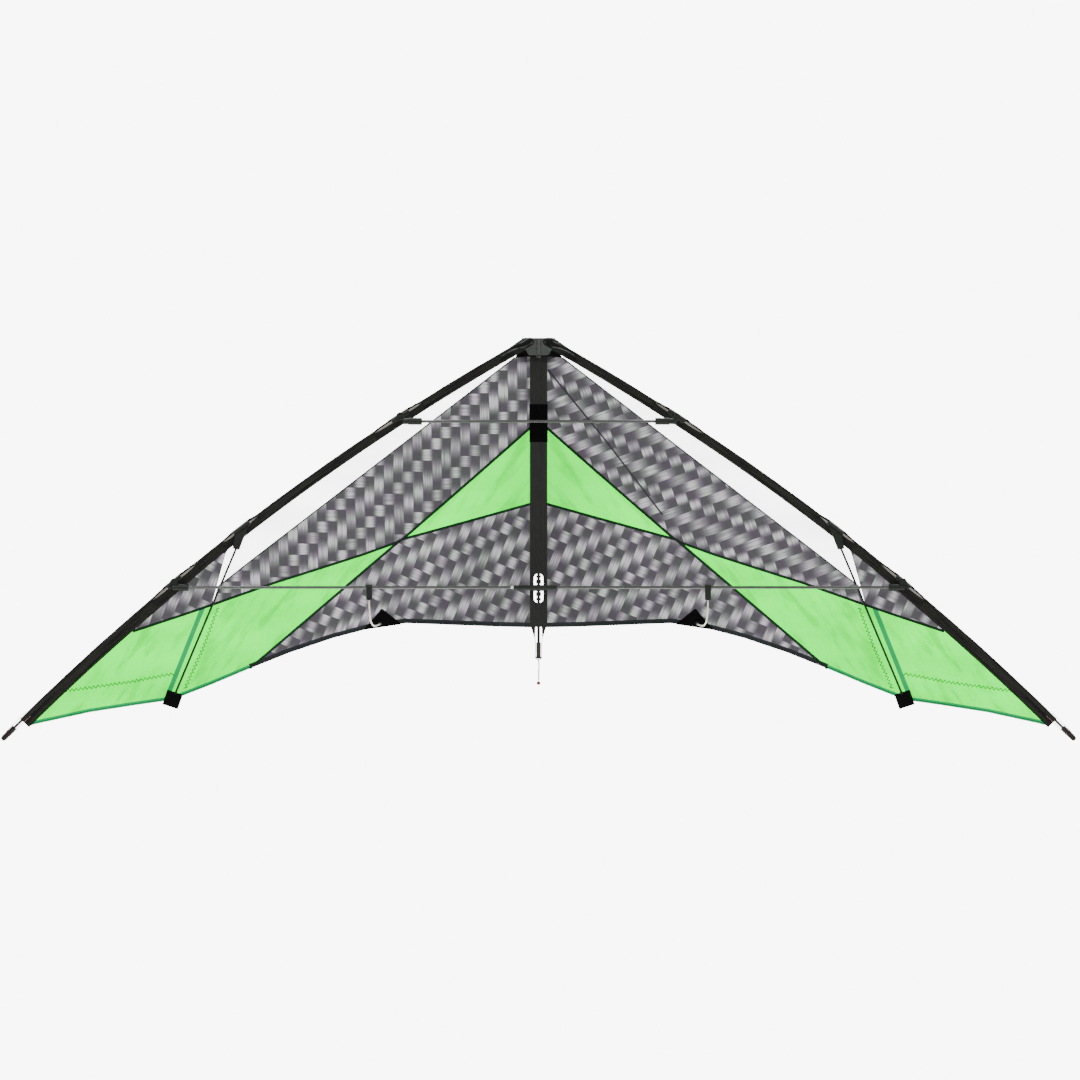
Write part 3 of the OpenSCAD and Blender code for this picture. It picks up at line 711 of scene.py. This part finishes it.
PANELS = [
    ("white", edge_line(58, 653, TUCK) + [BATTEN_TOP, *GREY_EDGE[::-1]]),
    ("upper", [(12, 484), *GREY_EDGE, *WEDGE[::-1], *UPPER_SEAM[::-1]]),
    ("green", [*UPPER_SEAM, *LOWER_SEAM[::-1]]),
    ("centre", [*LOWER_SEAM, *KEEL_SEAM[1:], *GREY_TE[::-1][1:]]),
    ("green", [LOWER_SEAM[-1], *WEDGE, *BATTEN_LINE[2:], *GREEN_TE[::-1][1:], *KEEL_SEAM[::-1][1:-1]]),
    ("upper", [LOWER_SEAM[-1], UPPER_SEAM[-1], WEDGE[0]]),
    ("centre", [*edge_line(652, 865, TUCK), *TIP_SEAM[::-1], BATTEN_TOP]),
    ("green", [*edge_line(864, 1062, TUCK), *TIP_TE[::-1], *BATTEN_LINE[1:-1][::-1], *TIP_SEAM[1:]]),
]
HEM, GREEN_HEM = 10.0, 8.0


def inset(line, by):
    """A trailing-edge line moved up into the sail."""
    return [(x, z + by) for x, z in line]


BANDS = [
    # Darker green bands: doubled cloth, with the lesser light through two layers painted into the colour
    ("green_double_painted_shade", strip([(703.5, -43), (740, -131), (776.6, -219)], 9.5)),
    ("green_double_painted_shade", strip(inset(GREEN_TE, GREEN_HEM / 2), GREEN_HEM)),
    ("green_double_painted_shade", strip(inset(TIP_TE, GREEN_HEM / 2), GREEN_HEM)),
    ("hem", strip(inset(GREY_TE, HEM / 2), HEM)),
    ("seam", strip(GREY_EDGE, 2.4)),
    ("seam", strip(UPPER_SEAM, 5.5)),
    ("seam", strip(LOWER_SEAM, 5.5)),
    ("seam", strip([LOWER_SEAM[-1], *WEDGE, *TIP_SEAM], 5.5)),
    ("seam", strip(KEEL_SEAM, 5.5)),
]
# A dark strip painted as the shadow of the one fold pressed into the cloth, on the right half only; the
# sheet's shape is not folded there
FOLD_SHADOW = {"right": [("painted_crease_shade", strip([(19.6, 456), (140, 310), (262, 152)], 3.4))]}


def sail_half(side):
    """One half of the sail: every panel, band and seam cut from one sheet."""
    sign = SIDES[side]
    cuts = PANELS + FOLD_SHADOW.get(side, []) + BANDS
    flat, faces, top = cut_flat([poly for _, poly in cuts], 9.0)
    cloth = {**CLOTH, "upper": CLOTH[side + "_upper"]}
    names = ["white", "green", "green_double_painted_shade", "seam", "hem", "painted_crease_shade", "upper", "centre"]
    slots = [names.index(cuts[t][0]) for t in top]
    y = surface_y(*flat.T) + ripple(*flat.T)
    points = np.stack([flat[:, 0] * sign, y, flat[:, 1]], 1) * MM
    faces = [f if sign > 0 else f[::-1] for f in faces]
    materials = [cloth[n] for n in names]
    made = build(side + "_sail", points, faces, materials, points[:, [0, 2]], slots)
    panels = ["sail_white", "sail_grey_upper", "sail_green_upper", "sail_green_lower"]
    panels += ["sail_grey_centre", "tip_grey", "tip_green"]
    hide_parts(*[f"{side}_{panel}" for panel in panels])
    return fan_fold(made)


def sail_stitches(side):
    """The fine stitches along the seams and hems, and the zigzags that show on the green."""
    sign = SIDES[side]
    seams = [
        zigzag(line, 5.0, 3.4)
        for line in (UPPER_SEAM[1:], LOWER_SEAM[1:], WEDGE + TIP_SEAM[1:], KEEL_SEAM, GREY_EDGE)
    ]
    seams = [on_sail(line, sign) for line in seams]
    for line, offset in ((GREY_TE[1:], 4.5), (TIP_TE, 3.5), (GREEN_TE, 3.5)):
        seams.append(on_sail(spaced([(x, z + offset) for x, z in line], 6), sign))
    fan_fold(threads(side + "_sail_stitches", seams, 0.55 * MM, THREAD))
    show = [
        zigzag([(672, -43), (705, -128), (745, -214)], 9.0, 5.5),
        zigzag([(768, -182), (860, -199), (975, -214.6), (1020, -218)], 9.0, 5.5),
    ]
    show = [on_sail(line, sign) for line in show]
    fan_fold(threads(side + "_batten_stitches", show, 1.0 * MM, GREEN_THREAD))


SAILS = {side: sail_half(side) for side in SIDES}
for side in SIDES:
    sail_stitches(side)

# ---------------------------------------------------------------- leading edge sleeves


def edge_place(x, n, y, sign):
    """A point beside the leading edge: n outwards from the rod's line and y back, in mm."""
    a = edge_angle(x)
    return (
        sign * (LE_X + (LE_R + n) * math.cos(a)) * MM,
        y * MM,
        (LE_Z + (LE_R + n) * math.sin(a)) * MM,
    )


FLAP_HALF = 0.55  # half the thickness of the sleeve's stitched flap
ROD_GAP = 3.35  # inner radius of the open sleeve, just clear of the rod


def sleeve_shape(r, flap):
    """The outline of the sleeve: round over the rod, closing to a flat flap inwards."""
    bend = max(flap * 0.6, r * 1.5)
    shape = [(-flap, -FLAP_HALF), (-bend, -FLAP_HALF - 0.15), (-r * 1.45, -1.1)]
    round_part = np.radians([38, 70, 100, 130, 158, 180])
    shape += [(-r * math.cos(t), -r * math.sin(t)) for t in round_part]
    shape += [(-r * math.cos(t), r * math.sin(t)) for t in round_part[-2::-1]]
    return shape + [(-r * 1.45, 1.1), (-bend, FLAP_HALF + 0.15), (-flap, FLAP_HALF)]


def split_shape(r, flap, slit, swell):
    """The same open at its front, `slit` degrees to either side, and wider by `swell`."""

    def arc(radius, a, b, n):
        turns = np.linspace(a, b, n)
        wide = radius + swell * np.interp(turns, [88, 110, 300, 330], [0, 1, 1, 0.9])
        return [(-w * math.sin(t), -w * math.cos(t)) for w, t in zip(wide, np.radians(turns))]

    shape = arc(r, min(slit, 66), 70, 3)
    shape += [(-r * 1.45, -1.1), (-flap * 0.6, -FLAP_HALF - 0.15), (-flap, -FLAP_HALF)]
    shape += [(-flap, FLAP_HALF), (-flap * 0.6, FLAP_HALF + 0.15), (-r * 1.45, 1.1)]
    return shape + arc(r, 110, 360 - slit, 12) + arc(ROD_GAP, 360 - slit, min(slit, 66), 14)


def hood_shape(count):
    """The sleeve where it is pulled over the nose fitting: a rounded box round the hinge plates."""
    out = []
    for t in np.linspace(183, 537, count):
        c, s = math.cos(math.radians(t)), math.sin(math.radians(t))
        out.append((-5.6 + 13.0 * math.copysign(abs(c) ** 0.6, c), 10.4 * math.copysign(abs(s) ** 0.6, s)))
    return out


def flap_at(x):
    """How far inwards the flap reaches."""
    return float(np.interp(x, [20, 700, 800], [16, 17.5, 21.5]))


# A sleeve's windows along x: where each starts and ends, the fitting's middle and its half length
OPEN_AT = [(244, 343, 288.5, 17.5), (587, 660, 620, 16), (716, 806, 761, 14)]
COLLAR_R = 7.2  # the cloth's radius where it is stretched over a fitting
LOOSE = 1.3  # how far it stands off the rod beside one
NOSE_START, NOSE_END, TIP_END = 14.0, 84.0, 1080.0
LAP = 3.0  # the nose piece laps over the first run
FLAT_TOP = 521.6 * MM  # the nose piece is pressed flat here


def run_ring(x, first_run, sign):
    """The closed sleeve at x: a hood over the nose fitting, then round the rod."""
    r = SLEEVE_R + 0.2 * math.sin(x / 13.0) * math.sin(x / 37.0 + 2)
    tucked = float(np.interp(x, [NOSE_END + LAP, NOSE_END + LAP + 3], [0.3, 0])) if first_run else 0
    shape = sleeve_shape(r - tucked, flap_at(x) - tucked)
    hood = float(np.interp(x, [36, 60], [1, 0]))
    shut = 0.9 if x < NOSE_START + 1 else 1.0
    ring = []
    for (n, y), (hood_n, hood_y) in zip(shape, hood_shape(len(shape))):
        n, y = (1 - hood) * n + hood * hood_n * shut, (1 - hood) * y + hood * hood_y * shut
        place = edge_place(x, n, y, sign)
        ring.append((*place[:2], min(place[2], FLAT_TOP)))
    return ring


def window_ring(x, window, sign):
    """The sleeve at x in one of its windows: slit open, and stretched over the fitting there."""
    first, last, hub, half = window
    from_end, beyond = min(x - first, last - x), max(0.0, abs(x - hub) - half)
    slit = float(np.interp(from_end, [0, 9, 24], [3, 34, 56]))
    slit = max(slit, float(np.interp(beyond, [0, 5], [96, 0])))
    swell = (COLLAR_R - SLEEVE_R) * (0.5 + 0.5 * math.cos(math.pi * min(1.0, beyond / 17)))
    swell = max(swell, float(np.interp(from_end, [0, 14], [0, LOOSE])))
    return [edge_place(x, n, y, sign) for n, y in split_shape(SLEEVE_R, flap_at(x), slit, swell)]


def flap_stitches(x0, x1, sign):
    """Two rows of stitches on both faces of the flap, as short straight threads."""
    out = []
    for from_edge in (3.0, 8.5):
        x = x0 + 3
        while x < x1 - 14:
            if flap_at(x) - from_edge > 7.5:
                for y in (-0.95, 0.95):
                    ends = (x, x + 2.9)
                    out.append([edge_place(q, from_edge - flap_at(q), y, sign) for q in ends])
            x += 4.4
    return out


def le_sleeve(side):
    """The nose piece, the closed runs of the sleeve, the windows between them and the stitches."""
    sign, start, runs = SIDES[side], NOSE_START, []
    stops = [(NOSE_END + LAP, NOSE_END - LAP), *[window[:2] for window in OPEN_AT], (TIP_END, 0)]
    for stop, again in stops:
        runs.append((start, stop))
        start = again
    made = []
    for number, (x0, x1) in enumerate(runs):
        n = int((x1 - x0) / 5)
        rings = [run_ring(x0 + (x1 - x0) * k / n, number == 1, sign) for k in range(n + 1)]
        name = f"{side}_sleeve_run_{number}" if number else side + "_nose_sleeve"
        made.append(sweep(rings, name, DACRON if number else VINYL))
    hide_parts(side + "_le_sleeve")
    for number, window in enumerate(OPEN_AT):
        first, last = window[:2]
        xs = np.linspace(first, last, int((last - first) / 2.4))
        rings = [window_ring(x, window, sign) for x in xs]
        made.append(sweep(rings, f"{side}_sleeve_window_{number + 1}", DACRON))
    for piece in made:
        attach(piece, side + "_wing")
    paths = [path for run in runs[1:] for path in flap_stitches(*run, sign)]
    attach(threads(side + "_sleeve_stitches", paths, 0.28 * MM, PALE_THREAD), side + "_wing")


for side in SIDES:
    le_sleeve(side)

# ---------------------------------------------------------------- spine sleeve, band and nose

HALF = 18.3  # half the width of the spine sleeve
STITCH_LIFT = 0.1  # of the stitches off its front


def bulge(x):
    """Half thickness of the spine sleeve across its width, in mm."""
    x = np.abs(np.asarray(x, float))
    round_part = np.sqrt(np.clip(4.4**2 - x**2, 0, None))
    tent = np.clip(3.1 - (x - 3.0) * 0.45, 0.75, 4.4)
    return np.maximum(round_part, np.minimum(tent, 4.4))


def oval(x_half, z0, z1, top_round):
    """A window with one rounded end."""
    t = np.linspace(0, math.pi, 10)
    cap = min(x_half, abs(z1 - z0) * 0.8)
    if top_round:
        arc = [(x_half * math.cos(a), z1 - cap + cap * math.sin(a)) for a in t]
        return [(-x_half, z0), (x_half, z0)] + arc
    arc = [(-x_half * math.cos(a), z0 + cap - cap * math.sin(a)) for a in t]
    return [(x_half, z1), (-x_half, z1)] + arc


WINDOW_HALF = 10  # half the width of its windows
SPINE_WINDOWS = [(5, 29, True), (-33, -8, False)]  # bottom, top, and whether the top is the round end
BAND, BAND_LIFT = (304, 383), 0.75
TAB = [(HALF, -80), (15.8, -83), (9.4, -104), (7.4, -104), (6.6, -83)]


def spine_cloth():
    """The flat tube over the spine rod, with its windows and the two tabs at its foot."""
    outline = [(-HALF, 484), (HALF, 484), *TAB, *[(-x, z) for x, z in TAB[::-1]]]
    windows = [oval(WINDOW_HALF, *window) for window in SPINE_WINDOWS]
    flat, faces, top = cut_flat([outline, *windows], 3.6)
    faces = [f for f, panel in zip(faces, top) if panel == 0]
    depth = bulge(flat[:, 0]) + 0.12 * np.sin(flat[:, 1] / 17)
    ends = SPINE_Y - depth, SPINE_Y + depth
    made = closed_sheet("spine_sleeve_cloth", flat, *ends, faces, SPINE_CLOTH)
    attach(made, "frame_body")
    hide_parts("spine_sleeve")


def on_spine(*points):
    """Flat points laid on the front of the spine sleeve, in metres."""
    return [(x * MM, (SPINE_Y - float(bulge(x)) - STITCH_LIFT) * MM, z * MM) for x, z in points]


def spine_stitches():
    """Rows of stitches along the sleeve, and one round each window."""
    stitches = []
    for x in (-15.6, 15.6, -9.5, 9.5):
        for z in np.arange(-76, 470, 4.6):
            beside_window = abs(x) < 11 and -36 < z < 32
            if not beside_window and not BAND[0] - 2 < z < BAND[1] + 2:
                stitches.append(on_spine((x, z), (x, z + 3)))
    for z0, z1, top_round in SPINE_WINDOWS:
        margin = (z0 - 1, z1 + 2) if top_round else (z0 - 2, z1 + 1)
        ring = oval(WINDOW_HALF + 2, *margin, top_round)
        ring = spaced(ring + ring[:1], 3.4)
        for p, q in zip(ring, ring[1:]):
            stitches.append(on_spine(p, [a + (b - a) * 0.68 for a, b in zip(p, q)]))
    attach(threads("spine_stitches", stitches, 0.26 * MM, PALE_THREAD), "frame_body")


def spine_band():
    """The black band wrapped round the spine sleeve."""
    xs = np.linspace(-HALF - BAND_LIFT, HALF + BAND_LIFT, 23)
    zs = np.linspace(*BAND, int((BAND[1] - BAND[0]) / 5))
    rings = []
    for k, z in enumerate(zs):
        lift = BAND_LIFT + 0.15 * math.sin(z / 4.3) - (0.35 if k in (0, len(zs) - 1) else 0)
        out = [float(bulge(x)) + lift for x in xs]
        front = [(x * MM, (SPINE_Y - y) * MM, z * MM) for x, y in zip(xs, out)]
        back = [(x * MM, (SPINE_Y + y) * MM, z * MM) for x, y in zip(xs, out)]
        rings.append(front + back[::-1])
    band = sweep(rings, "spine_band_cloth", BLACK_TAPE)
    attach(band, "frame_body")
    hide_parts("spine_band")


def nose_cloth():
    """The webbing folded behind the nose, with its ends behind the leading edges."""
    right = [(20, 471), (54, 474), (34, 505), (12, 508)]
    flat, faces, _ = cut_flat([right + [(-x, z) for x, z in right[::-1]]], 4.0)
    y = np.maximum(16.8, surface_y(np.abs(flat[:, 0]), flat[:, 1]) + 1.8)
    y = y + 0.25 * np.sin(flat[:, 0] / 5) + 0.2 * np.sin(flat[:, 1] / 4)
    made = closed_sheet("nose_webbing", flat, y - 0.6, y + 0.6, faces, DACRON)
    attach(made, "frame_body")
    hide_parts("nose_patch")


spine_cloth()
spine_stitches()
spine_band()
nose_cloth()

# ---------------------------------------------------------------- patches at the trailing edge


ROWS = 9  # points along each side of a patch


def patch(name, corners, side, body, node, lift, half):
    """A four-cornered piece of webbing over the sail's edge, following its curve."""
    c = [np.array(p, float) for p in corners]
    steps = np.linspace(0, 1, ROWS)
    flat = np.array([
        (1 - u) * (1 - v) * c[0] + u * (1 - v) * c[1] + u * v * c[2] + (1 - u) * v * c[3]
        for v in steps
        for u in steps
    ])
    last = ROWS - 1
    on_rim = np.array([0 in (i, j) or last in (i, j) for j in range(ROWS) for i in range(ROWS)])
    thick = np.where(on_rim, half * 0.45, half)
    y = surface_y(*flat.T) + ripple(*flat.T) + lift
    corner = [j * ROWS + i for j in range(last) for i in range(last)]
    faces = [(k, k + 1, k + ROWS + 1, k + ROWS) for k in corner]
    made = closed_sheet(name, flat, y - thick, y + thick, faces, BLACK_TAPE, SIDES[side])
    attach(made, body)
    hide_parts(node)


WHISKER_END = (771, -237)
SQUARE_HALF, SQUARE_TURN = 16.5, math.radians(20)
LEECH_PATCH = [(292.5, -81), (372, -92.5), (335.2, -48), (332, -48)]

for side in SIDES:
    c, s = math.cos(SQUARE_TURN) * SQUARE_HALF, math.sin(SQUARE_TURN) * SQUARE_HALF
    square = [
        (WHISKER_END[0] + c * i - s * j, WHISKER_END[1] + s * i + c * j)
        for i, j in ((-1, -1), (1, -1), (1, 1), (-1, 1))
    ]
    wing, standoff = side + "_wing", side + "_standoff"
    patch(side + "_whisker_webbing", square, side, wing, side + "_whisker_patch", 0.0, 1.1)
    patch(side + "_leech_webbing", LEECH_PATCH, side, standoff, side + "_te_patch", -0.4, 1.0)

# ---------------------------------------------------------------- strings

LAY = 1.6  # how slowly a string's strands wind round it


def cord_mesh(name, line, radius, strands, body):
    """A twisted string along a line of points in metres: one strand for each material."""
    line = [Vector(p) for p in line]
    for number, material in enumerate(strands):
        curve = bpy.data.curves.new(f"{name}_{number + 1}", "CURVE")
        curve.dimensions = "3D"
        curve.bevel_depth = radius * 0.62
        curve.bevel_resolution = 2
        path = curve.splines.new("POLY")
        path.points.add(len(line) - 1)
        run = 0.0
        for k, p in enumerate(line):
            d = (line[min(k + 1, len(line) - 1)] - line[max(k - 1, 0)]).normalized()
            run += (p - line[k - 1]).length if k else 0.0
            side = d.cross(Vector((0.3, 1, 0.2))).normalized()
            up = d.cross(side)
            a = run / (radius * 2 * math.pi * LAY) * math.tau + number * math.tau / len(strands)
            q = p + radius * 0.5 * (side * math.cos(a) + up * math.sin(a))
            path.points[k].co = (*q, 1)
        curve.materials.append(material)
        made = link(f"{name}_{number + 1}", curve)
        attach(made, body)
        if number == 0:
            first = made
    return first


def smooth_line(points, per):
    """A smooth line through points (Catmull-Rom)."""
    p = [np.array(q, float) for q in points]
    p = [2 * p[0] - p[1], *p, 2 * p[-1] - p[-2]]
    out = []
    for k in range(1, len(p) - 2):
        for t in np.linspace(0, 1, per, endpoint=False):
            a = 2 * p[k] + (p[k + 1] - p[k - 1]) * t
            b = (2 * p[k - 1] - 5 * p[k] + 4 * p[k + 1] - p[k + 2]) * t * t
            c = (3 * p[k] - p[k - 1] - 3 * p[k + 1] + p[k + 2]) * t**3
            out.append(tuple((a + b + c) / 2))
    return [*out, tuple(p[-2])]


TAIL_LENGTH, TAIL_D = 0.046, 0.0026
BEAD_RADII = (0.0042, 0.0042, 0.0041)
low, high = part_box("tail_string")
tail = bpy.data.curves.new("tail_line", "CURVE")
tail.dimensions = "3D"
tail.bevel_depth = TAIL_D / 2
tail.bevel_resolution = 3
route = [(0, 0), (0.5, -9), (0.8, -18), (0.2, -28), (0.3, -37), (0, -45.9)]
route = smooth_line([(x * MM, SPINE_Y * MM, high[2] + z * MM) for x, z in route], 8)
path = tail.splines.new("POLY")
path.points.add(len(route) - 1)
for k, p in enumerate(route):
    path.points[k].co = (*p, 1)
tail.materials.append(LINE_PINK)
tail_line = link("tail_line", tail)
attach(tail_line, "frame_body")
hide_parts("tail_string")

low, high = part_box("tail_bead")
middle = (low + high) / 2
bpy.ops.mesh.primitive_uv_sphere_add(segments=28, ring_count=18, radius=1.0, location=middle)
bead = bpy.context.object
bead.name = "tail_bead_knot"
bead.scale = BEAD_RADII
bpy.ops.object.transform_apply(location=False, rotation=False, scale=True)
for v in bead.data.vertices:
    v.co *= 1 + 0.06 * math.sin(v.co.x * 2600) * math.sin(v.co.z * 2300 + 1)  # slightly lumpy
bead.data.polygons.foreach_set("use_smooth", [True] * len(bead.data.polygons))
bead.data.materials.append(BEAD)
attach(bead, "frame_body")
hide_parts("tail_bead")

low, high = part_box("spine_end_cap")
cap_bottom = low[2] / MM
for number, sign in enumerate((-1, 1)):
    points = [
        (8.4, -0.6, -99), (7.6, -1.0, -108), (6.6, -1.6, -118), (6.4, -1.2, -132),
        (6.9, -0.6, -145), (4.6, 0, cap_bottom - 0.9), (0, 0, cap_bottom - 1.3),
    ]
    line = smooth_line([(sign * x * MM, (SPINE_Y + y) * MM, z * MM) for x, y, z in points], 12)
    strands = [LINE_WHITE, LINE_RED]
    first = cord_mesh(f"spine_tie_{number + 1}", line, 0.8 * MM, strands, "frame_body")
    if number == 0:
        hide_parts("spine_string")

# A tip string's way: x, how far off the rod's line, and how far in front of it
TIP_WAY = [
    (1066, 6.86, 1.92), (1080, 6.272, 2.76), (1094, 6.076, 3.12), (1107, 5.88, 2.04), (1114, 4.116, 0.36),
]
for side, sign in SIDES.items():
    for number, off in enumerate((-1, 1)):
        points = [edge_place(x, -away * off, -y, sign) for x, away, y in TIP_WAY]
        line = smooth_line(points, 12)
        strands = [LINE_WHITE, LINE_RED if off > 0 else LINE_WHITE]
        name = f"{side}_tip_tie_{number + 1}"
        first = cord_mesh(name, line, 0.7 * MM, strands, side + "_wing")
        if number == 0:
            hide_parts(side + "_tip_string")

# ---------------------------------------------------------------- finishes on the CAD pieces

MOULDED, TUBE = (FITTING, "moulded_fitting"), (SPREADER, "grey_spreader_tube")
FINISH = {
    "nose_connector": (NOSE_PAINTED_HIGHLIGHT, "moulded_fitting"),
    "spine_rod": (CARBON, "black_carbon_rod"),
    "spine_end_cap": (CAP, "end_cap_plastic"),
    "upper_spreader": TUBE,
}
EACH_SIDE = {
    "le_rod": (EDGE_ROD, "black_carbon_rod"),
    "whisker_rod": (CARBON, "black_carbon_rod"),
    "tip_cap": (CAP_BROWN, "end_cap_plastic"),
    "lower_spreader": TUBE,
    "standoff_rod": (CREAM, "cream_fibreglass"),
}
for name in ("centre_t", "spine_clips", "upper_socket", "left_upper_hub", "right_upper_fork"):
    FINISH[name] = MOULDED
for name in ("nose_lug", "lower_hub", "socket_arm", "whisker_clip", "standoff_clip", "te_socket"):
    EACH_SIDE[name] = MOULDED
for side in SIDES:
    FINISH.update({f"{side}_{name}": value for name, value in EACH_SIDE.items()})
for name, (material, slot) in FINISH.items():
    node = NODES[name]
    node.data.materials.clear()
    node.data.materials.append(material)

low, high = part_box("centre_t")
tube_low, tube_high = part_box("left_lower_spreader")
bpy.ops.mesh.primitive_cylinder_add(
    vertices=32, radius=0.00315, depth=0.006,
    location=(low[0] - 0.0034, -0.011, (tube_low[2] + tube_high[2]) / 2),
)
ferrule = bpy.context.object
ferrule.name = "left_spreader_ferrule"
ferrule.rotation_euler = (0, math.radians(90), 0)
ferrule.data.materials.append(FERRULE)
bpy.ops.object.shade_smooth()
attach(ferrule, "left_spreader")

# ---------------------------------------------------------------- last update

bpy.context.view_layer.update()
